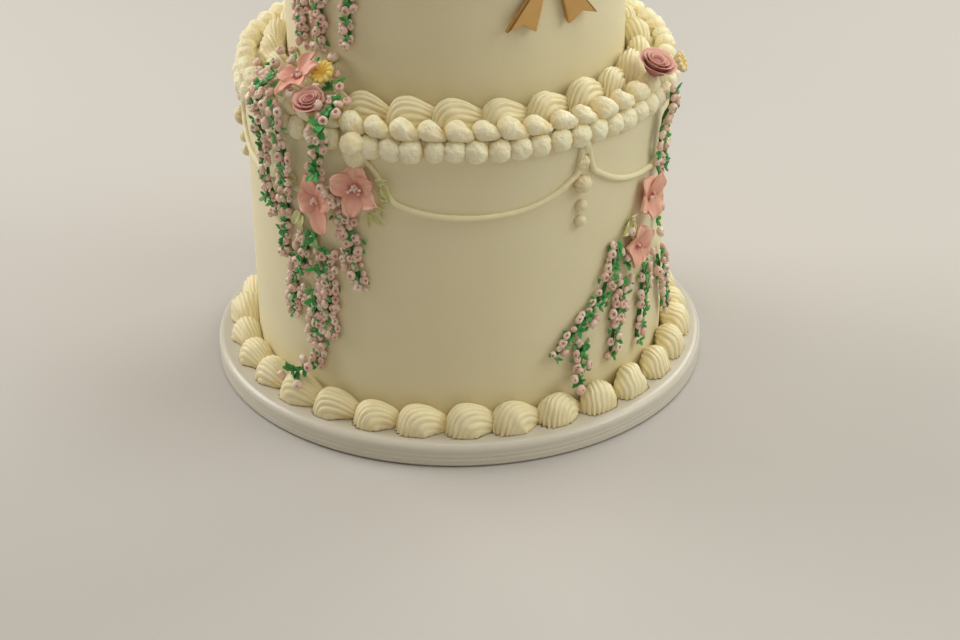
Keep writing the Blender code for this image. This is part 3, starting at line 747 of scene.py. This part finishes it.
def addGreenLeaf(batch, placement, length, angle, draw):
    local, u, v = petalPoints(length, length * draw.uniform(0.5, 0.72), 0.85, lift=length * draw.uniform(0.15, 0.6),
                              curl=length * draw.uniform(0, 0.3), seed=draw.uniform(0, 6), thick=0.0006,
                              bend=draw.uniform(-0.2, 0.2) * length, cup=length * 0.16, frill=length * 0.1,
                              shoulder=0.8)
    local, u = local[::3, ::3], u[::3]
    tone = blend(strandLook["green"], strandLook["greenDark"], draw.uniform(0, 0.8))
    if draw.random() < 0.14:
        tone = blend(tone, strandLook["greenPale"], 0.7)
    batch.grid(settle(turned(local, angle), placement), tone * (0.75 + 0.45 * u[..., None]))


def addSprig(batch, placement, size, draw):
    # a tuft of ruffled leaves from one spot
    start, count = draw.uniform(0, 360), draw.choice((3, 4, 4))
    for number in range(count):
        length = size * draw.uniform(0.8, 1.2)
        addGreenLeaf(batch, placement, length, start + 360 * number / count + draw.uniform(-25, 25), draw)


def leaning(origin, across, along, face, draw, most):
    # the same place with its face leant over at random
    lean, turn = math.radians(draw.uniform(0, most)), draw.uniform(0, 6.28)
    newFace = face * math.cos(lean) + (across * math.cos(turn) + along * math.sin(turn)) * math.sin(lean)
    newAcross = unit(np.cross(along, newFace))
    return origin, newAcross, np.cross(newFace, newAcross), newFace


def makeStrand(name, width, full, route):
    batch = Batch("strand_" + name)
    draw, floret = batch.draw, strandLook["floret"]
    through = throughPoints([spot(*stop) for stop in route], 8)
    line = evenSteps(through, strandLook["step"])
    core = tube(evenSteps(through, 0.0016), strandLook["core"], 8, len(batch.node), 0.25)
    batch.grid(core, strandLook["greenDark"])
    for i, (point, along) in enumerate(zip(line, unit(np.gradient(line, axis=0)))):
        azimuth = math.degrees(math.atan2(point[0], -point[1]))
        side = sideways(azimuth)
        side = unit(side - along * (side @ along))
        face = np.cross(along, side)
        if face @ (outward(azimuth) + np.array([0, 0, 1])) < 0:
            face = -face
        taper = 1 - 0.45 * max(0, 1.6 * i / len(line) - 0.6)

        def near(lane, lift, most, splay=0):
            # a place beside the line, a little off the wall, that leans at random
            origin = (point + side * (lane + draw.uniform(-0.18, 0.18)) * (width / 2000 * taper)
                      + along * draw.uniform(-1, 1) * strandLook["slide"]
                      + face * (lift + draw.uniform(0, 0.8)) / 1000)
            return leaning(origin, side, along, face + side * lane * splay, draw, most)

        for lane in (-0.66, 0.66, -0.2, 0.25)[:4 if full > 1.2 else 2]:
            if draw.random() < 0.86 * min(full, 1):
                size = floret * draw.uniform(0.8, 1.14) * (0.6 + 0.4 * taper)
                addFloret(batch, near(lane, 0.2, 48, 0.6), size, draw)
        if i % 2 == 0:
            addSprig(batch, near(0, 1.9, 25), 0.0035 * (0.7 + 0.3 * taper), draw)
        elif draw.random() < 0.55 * full:
            addFloret(batch, near(0, 1.5, 40), floret * draw.uniform(0.85, 1.12), draw)
        else:
            addSprig(batch, near(0, 1.2, 30), strandLook["tuft"], draw)
        if draw.random() < 0.5:
            addGreenLeaf(batch, near(draw.choice((-0.9, 0.9)), 0.3, 40), 0.003, draw.uniform(0, 360), draw)
    batch.piece("florets-" + name.replace("_", "-"), petalIcing, "wisteria")


for name, (width, full, route) in strands.items():
    makeStrand(name, width, full, route)

# loose florets and tufts round the flowers: azimuth, radius and height in millimetres,
# and their size where it isn't the usual 1.1
looseFlorets = (
    (-67.5, 90.5, 177), (-65.9, 84.5, 177, 1), (-61.4, 96.8, 175, 1.2), (-57.3, 106, 172), (-51.1, 110.5, 170),
    (-41.8, 85.5, 184, 1.3), (-41.6, 86.5, 180, 1.2), (-34.1, 95.3, 177), (-33.7, 99.4, 172.5),
    (-45.2, 108, 172, 1.3), (-57, 91, 178), (-46, 90, 180), (-38, 88.5, 179, 1), (-54.5, 88, 178, 1),
    (-30.8, 107.6, 126.5), (-31.2, 107.6, 133, 1), (-30.4, 107.6, 120.5), (61.5, 107.4, 76), (66.5, 107.6, 83, 1.2),
    (48.6, 107.4, 83.5, 1), (66.8, 107.2, 96.5), (50.5, 107.4, 96.8), (-71, 100, 170.5), (-63.5, 103, 171.5),
    (-37.4, 109, 137.5), (-34.6, 109, 137), (-39.2, 108.4, 140, 1), (-54.6, 112.4, 168), (-52.6, 112.6, 165),
    (-49.3, 114.5, 23.5, 1.2), (-43.5, 115.5, 23.1, 1.2), (-41.2, 112, 32.9, 1.2), (-46.4, 115, 21.7, 1.2),
    (-43, 110.5, 35, 1.2), (30.2, 114, 25.9, 1.2), (29.6, 111.5, 31.2), (31.7, 109.5, 33), (62.2, 108.6, 133),
    (63.2, 109.4, 139), (64.8, 110.4, 146), (63, 108, 125), (-34.1, 112, 133.8), (-32.7, 112, 131.9, 1),
    (-31.5, 111.5, 129.2), (-31.2, 111, 126.3, 1))
looseTufts = (
    (-50, 108, 172, 1.3), (-56.7, 102.6, 172, 1.4), (-42, 87.5, 183, 1.4), (-38.7, 93.4, 175, 1.3),
    (-60, 88, 178, 1.2), (-48.5, 88, 181, 1.2), (-35.8, 93, 178, 1.3), (-31.5, 107.4, 129.8), (-29.4, 107.4, 123.5),
    (57.5, 107.2, 75.5, 1.3), (66, 107.4, 90), (49.6, 107.2, 80, 1.2), (-64.5, 98, 174.5, 1.2), (-52, 101, 173, 1.2),
    (-44.8, 114, 28.2, 1.9), (-47, 114, 27, 1.7), (-43, 112.5, 30.5, 1.6), (31, 112, 29, 1.3),
    (63.6, 109.8, 142.5, 1.2), (63.4, 108.8, 129, 1.3), (63.4, 108.2, 121), (-33, 115, 166.4, 2.3),
    (-36.2, 111.5, 139.4, 1.9), (-53.8, 108, 175.9, 1.4), (-50.5, 109, 100.6, 1.7), (-57, 110.5, 113.5, 1.3),
    (-38.7, 109.5, 102.9, 1.6), (-38.1, 109.5, 87.2, 1.6), (-40.2, 109.5, 69.1, 1.4))


def makeLoose():
    batch = Batch(None, "loose florets")
    draw = batch.draw
    for stops, add, kind in ((looseFlorets, addFloret, "floret"), (looseTufts, addSprig, "tuft")):
        for azimuth, radius, height, *scale in stops:
            place = facing(azimuth, radius / 1000, height / 1000, 55 if height > 165 else 0)
            add(batch, leaning(*place, draw, 30), strandLook[kind] * (scale or [1.1])[0], draw)
    batch.piece("florets-loose", petalIcing, "wisteria")


makeLoose()
print("strands done")

# pale leaves, in small ruffled groups: azimuth, radius, height, direction and length of each
leaves = dict(
    leaf_1=((-18.6, 0.1088, 0.1394, 300, 9), (-20.6, 0.1086, 0.1398, 20, 7), (-20, 0.1086, 0.1345, 340, 7),
        (-19.4, 0.1084, 0.131, 10, 6)),
    leaf_2=((-22, 0.1062, 0.123, 325, 8.5), (-23, 0.1064, 0.1222, 285, 6), (-21.4, 0.1066, 0.1256, 0, 6.5)),
    leaf_3=((-45.4, 0.1062, 0.113, 255, 8.5), (-44.4, 0.1064, 0.111, 290, 7), (-45.6, 0.1064, 0.129, 160, 6)),
    leaf_4=((51.6, 0.1062, 0.1, 200, 9.5), (53, 0.107, 0.099, 235, 8), (53.4, 0.1068, 0.101, 150, 7.5)))


def makeLeaf(node, group):
    batch = Batch(node)
    draw = batch.draw
    for azimuth, radius, height, direction, length in group:
        length = length / 1000
        local, u, v = petalPoints(length, length * 0.56, 0.85, lift=0.0026, curl=0.0008, cup=0.0012, frill=0.0009,
                                  seed=draw.uniform(0, 6), thick=0.0007)
        tint = blend(leafPale, leafDeep, np.clip(1 - np.abs(v) * 1.6, 0, 1) * 0.8)
        batch.grid(settle(turned(local, direction), facing(azimuth, radius, height, 0)), tint)
    batch.piece("paleLeaf-" + node[5:], petalIcing, "leaf")


for node, group in leaves.items():
    makeLeaf(node, group)
print("leaves done")

# roses: azimuth, radius, height, tilt and size, then the rounds of wound petals from the bud out,
# each with its count, inner and outer reach, rise and span
rosePale, roseDeep = linear(228, 175, 161), linear(168, 103, 98)
roses = dict(
    ledge=(-38.4, 0.1072, 0.1704, 66, 0.0118), right=(61.8, 0.1056, 0.172, 66, 0.0143),
    top=(-70, 0.064, 0.3126, 60, 0.014))
roseRounds = ((1, 0.13, 0.17, 0.5, 1.75), (2, 0.2, 0.27, 0.5, 1.3), (3, 0.28, 0.38, 0.46, 0.98),
              (5, 0.36, 0.52, 0.38, 0.72))


def makeRose(name, azimuth, radius, height, tilt, size):
    batch = Batch("rose_" + name)
    draw = batch.draw
    placement = facing(azimuth, radius, height, tilt)
    bud = ball(16, 22)[..., [1, 2, 0]] * np.array([0.36, 0.36, 0.27]) + np.array([0, 0, 0.15])
    batch.grid(settle(bud * size, placement), roseDeep)
    across, up = np.linspace(-1, 1, 22)[None, :], steps(10)
    for layer, (count, low, high, rise, span) in enumerate(roseRounds):
        for number in range(count):
            middle = math.tau * (number + 0.37 * layer) / count + draw.uniform(-0.22, 0.22)
            shift = draw.uniform(-0.03, 0.03) * layer
            turn = middle + across * math.pi * span * 0.62
            flare = (0.07 + 0.03 * layer) * up ** 4 * (1 - across ** 2)
            reach = low + (high - low) * up ** 1.4 + 0.03 * across + flare + shift
            reach = reach + 0.012 * np.sin(6 * across + layer + number) * up ** 2
            top = rise * (1 - 0.22 * across ** 2 + 2 * shift) * (0.18 + 0.82 * up)
            inner, outer = (surface(grow * np.cos(turn), grow * np.sin(turn), top) * size
                            for grow in (reach, reach + 0.036 * (1 - 0.45 * up)))
            rim = np.concatenate([up, up[::-1]]) ** 1.5
            both = settle(np.concatenate([inner, outer[::-1]]), placement)
            batch.grid(both, blend(roseDeep, rosePale, rim), ring=False, loop=True)
    batch.piece("rose-" + name, petalIcing, "rose")


for name, values in roses.items():
    makeRose(name, *values)
print("roses done")

# drop flowers
yellows = dict(size=0.012, slot="yellow", pale=linear(250, 236, 146), deep=linear(242, 200, 78))
dropFlowers = dict(
    yellow_ledge=dict(place=(-40.4, 0.093, 0.1798, 48, 10), **yellows),
    yellow_top=dict(place=(-33, 0.066, 0.3116, 56, 10), **yellows),
    white_right=dict(place=(72.6, 0.1106, 0.1688, 20, 25), size=0.0105, slot="pale_flower",
        pale=linear(236, 228, 190), deep=linear(222, 190, 96)))


def makeDropFlower(name, flower):
    batch = Batch("flower_" + name)
    draw = batch.draw
    placement = facing(*flower["place"])
    size = flower["size"] / 2
    profile = np.array(((0.02, 0), (0.45, 0), (0.72, 0.16), (0.92, 0.42), (1.04, 0.62), (1, 0.76), (0.86, 0.84),
                        (0.66, 0.82), (0.46, 0.76), (0.3, 0.68), (0.16, 0.66), (0.02, 0.68)))
    turn = circle(72)
    radius, height = profile.T[..., None]
    dip = 1 - np.abs(np.cos(5.5 * turn + 0.8 * radius)) ** 0.7
    spread = radius * (1 - 0.22 * dip * np.clip(radius * 1.3, 0, 1))
    rise = height - 0.16 * dip * np.clip(radius * 1.5, 0, 1)
    local = surface(spread * np.cos(turn), spread * np.sin(turn), rise) * size
    local = local + ripple(local, 1400, 5)[..., None] * 0.00012
    # deeper colour at the centre is the flower's own; deeper colour in the dips between petals is painted shade
    share = np.clip(1.15 - radius + 0.5 * dip, 0, 1)
    batch.grid(settle(local, placement), blend(flower["pale"], flower["deep"], share))
    addBeads(batch, placement, 5, 0.0007, 0.0005, size * 0.52, (flower["deep"],), draw)
    batch.piece("dropFlower-" + name.replace("_", "-"), petalIcing, flower["slot"])


for name, flower in dropFlowers.items():
    makeDropFlower(name, flower)
print("small flowers done")

# gold bow
bow = dict(
    azimuth=31, height=0.2375, gap=0.00035, thick=0.003, bevel=0.00075, gold=(0.7, 0.43, 0.16, 1),
    haze=(0.58, 0.34, 0.12, 1))


def goldFinish():
    # mirror gold with the faintest haze and hairlines
    finish = Finish("goldMirror", Metallic=1, Specular_IOR_Level=0.5)
    haze = finish.cloud(160, 3, 0.35, 0.7)
    hair = finish.cloud(2600, 2, 0.55, 0.72)
    finish.feed("Base Color", finish.mixed(haze * 0.5, bow["gold"], bow["haze"], "MIX"))
    finish.feed("Roughness", finish.ranged(haze + 0.4 * hair, 0, 1.4, 0.05, 0.15))
    finish.bump(hair, 0.000006)
    return finish.material


def makeBow():
    # half of the outline in millimetres: a rounded loop, then a notched tail
    lobe = ((4, 4.2), (12, 12.5), (22, 18), (29, 15), (30, 4), (27, -6), (17, -7), (4.6, -3.6))
    loop = throughPoints(lobe, 8).tolist()
    tail = [(10, -14), (25, -32), (16.5, -29.5), (9, -34.5), (5, -19)]
    half = [(0, 4.6), *loop, *tail]
    outline = half + [(0, -6)] + [(-x, y) for x, y in reversed(half[1:])]
    origin, across, along, face = facing(bow["azimuth"], upperRadius + bow["gap"], bow["height"], 0)
    work = bmesh.new()
    front = [work.verts.new(origin + (across * x + along * y) / 1000 + face * bow["thick"]) for x, y in outline]
    back = bmesh.ops.extrude_face_region(work, geom=[work.faces.new(front)])
    moved = [item for item in back["geom"] if isinstance(item, bmesh.types.BMVert)]
    bmesh.ops.translate(work, verts=moved, vec=Vector(-face * bow["thick"]))
    bmesh.ops.recalc_face_normals(work, faces=work.faces)
    rims = [edge for edge in work.edges if len(edge.link_faces) == 2 and edge.calc_face_angle(0) > 1.2]
    bmesh.ops.bevel(work, geom=rims, offset=bow["bevel"], segments=2, profile=0.6, affect="EDGES")
    mesh = bpy.data.meshes.new("goldBow")
    work.to_mesh(mesh)
    work.free()
    addPiece("goldBow", mesh, goldFinish(), "gold_bow")


makeBow()
print("bow done")

# floor, lights and camera
studio = dict(floor=linear(188, 184, 178), sky=(1, 0.94, 0.87, 1), skyStrength=0.22)
lights = (("windowRight", (1.1, -0.2, 0.85), (0.03, 0, 0.12), 0.9, 6.6, (0.97, 1, 0.95)),
          ("windowBack", (0.8, 0.9, 0.95), (0, 0, 0.15), 0.9, 8.5, (1, 1, 0.97)),
          ("windowLeft", (-1, 0.45, 0.7), (-0.03, 0, 0.12), 0.9, 10.4, (1, 0.98, 0.95)),
          ("frontFill", (0.15, -1.6, 0.9), (0, 0, 0.12), 1.6, 2.8, (1, 0.89, 0.8)),
          ("overhead", (0.1, -0.1, 1.7), (0, 0, 0.1), 1.2, 10, (1, 0.955, 0.88)))
view = dict(lens=78.79, place=(0, -0.9751, 0.55237), yaw=0.01103, pitch=0.50736, roll=-0.00816)


def makeFloor():
    finish = Finish("paleFloor", Specular_IOR_Level=0.3)
    cloud = finish.cloud(6, 3, 0.3, 0.7)
    low, high = (*studio["floor"], 1), (*studio["floor"] * 0.97, 1)
    finish.feed("Base Color", finish.mixed(cloud * 0.3, low, high, "MIX"))
    finish.feed("Roughness", finish.ranged(cloud, 0, 1, 0.7, 0.85))
    work = bmesh.new()
    bmesh.ops.create_grid(work, x_segments=24, y_segments=24, size=6)
    bmesh.ops.translate(work, verts=work.verts, vec=Vector((0, 3, -0.0002)))
    mesh = bpy.data.meshes.new("floor")
    work.to_mesh(mesh)
    work.free()
    mesh.materials.append(finish.material)
    intoScene("floor", mesh)


def makeLights():
    for name, place, target, size, power, colour in lights:
        lamp = bpy.data.lights.new(name, "AREA")
        lamp.shape, lamp.size, lamp.energy, lamp.color = "DISK", size, power, colour
        light = intoScene(name, lamp)
        light.location = place
        light.rotation_mode = "QUATERNION"
        light.rotation_quaternion = (Vector(target) - Vector(place)).to_track_quat("-Z", "Y")
    world = bpy.data.worlds.new("paleRoom")
    world.use_nodes = True
    room = world.node_tree.nodes["Background"].inputs
    room["Color"].default_value, room["Strength"].default_value = studio["sky"], studio["skyStrength"]
    bpy.context.scene.world = world
    bpy.context.scene.view_settings.view_transform = "Standard"


def makeCamera():
    data = bpy.data.cameras.new("photoView")
    data.lens, data.sensor_width, data.sensor_fit = view["lens"], 36, "HORIZONTAL"
    data.clip_start, data.clip_end = 0.05, 20
    camera = intoScene("photoView", data)
    turns = ((-view["yaw"], "Z"), (math.pi / 2 - view["pitch"], "X"), (view["roll"], "Z"))
    place = Matrix.Translation(view["place"])
    for turn, axis in turns:
        place = place @ Matrix.Rotation(turn, 4, axis)
    camera.matrix_world = place
    bpy.context.scene.camera = camera


makeFloor()
makeLights()
makeCamera()
print("studio done")
